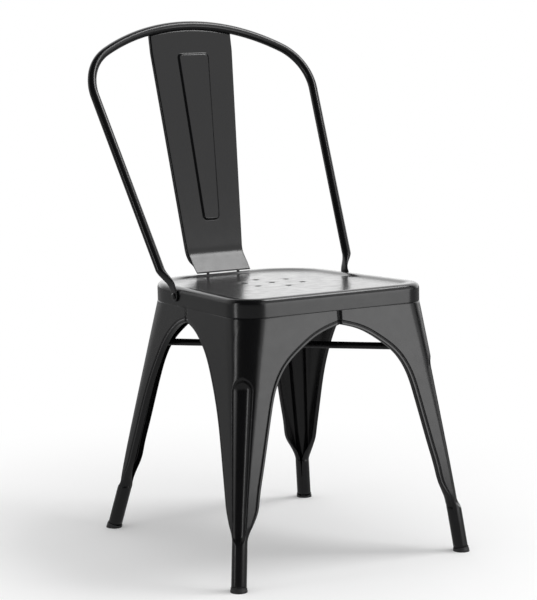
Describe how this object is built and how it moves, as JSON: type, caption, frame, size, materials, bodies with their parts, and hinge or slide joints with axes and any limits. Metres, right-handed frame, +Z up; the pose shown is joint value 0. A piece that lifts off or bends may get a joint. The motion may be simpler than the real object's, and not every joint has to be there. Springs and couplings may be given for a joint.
{
  "type": "bistro chair",
  "caption": "Pressed steel bistro chair: dished seat with drain holes, splayed sheet legs with arched openings, bent tube back hoop and a tapered flat splat.",
  "frame": {"origin": "on the floor under the middle of the chair's box: the row frame's XY middle at the lowest point of the glides", "axes": "+Z up, the sitter faces -Y, +X is the sitter's left"},
  "size_m": [0.4542, 0.5268, 0.8501],
  "materials": {
    "seat_paint": "semi-gloss black powder coat",
    "leg_paint": "semi-gloss black powder coat",
    "tube_paint": "semi-gloss black powder coat",
    "splat_paint": "semi-gloss black powder coat",
    "weld_paint": "semi-gloss black powder coat over a weld bead",
    "glide_rubber": "matt black",
    "fastener_black": "black coated steel",
    "fastener_zinc": "bright zinc plate"
  },
  "bodies": {
    "root": {"seat_pan": "seat_paint", "leg_front_left": "leg_paint", "leg_front_right": "leg_paint", "leg_rear_left": "leg_paint", "leg_rear_right": "leg_paint", "foot_glide_front_left": "glide_rubber", "foot_glide_front_right": "glide_rubber", "foot_glide_rear_left": "glide_rubber", "foot_glide_rear_right": "glide_rubber", "back_hoop": "tube_paint", "back_splat": "splat_paint", "brace_bar_upper": "tube_paint", "brace_bar_lower": "tube_paint", "hoop_bolts": "fastener_black", "hoop_bolt_washers": "fastener_zinc", "hoop_bolt_nuts": "fastener_zinc", "splat_foot_washers": "fastener_zinc", "splat_foot_nuts": "fastener_zinc", "arch_weld_beads": "weld_paint"}
  },
  "joints": []
}
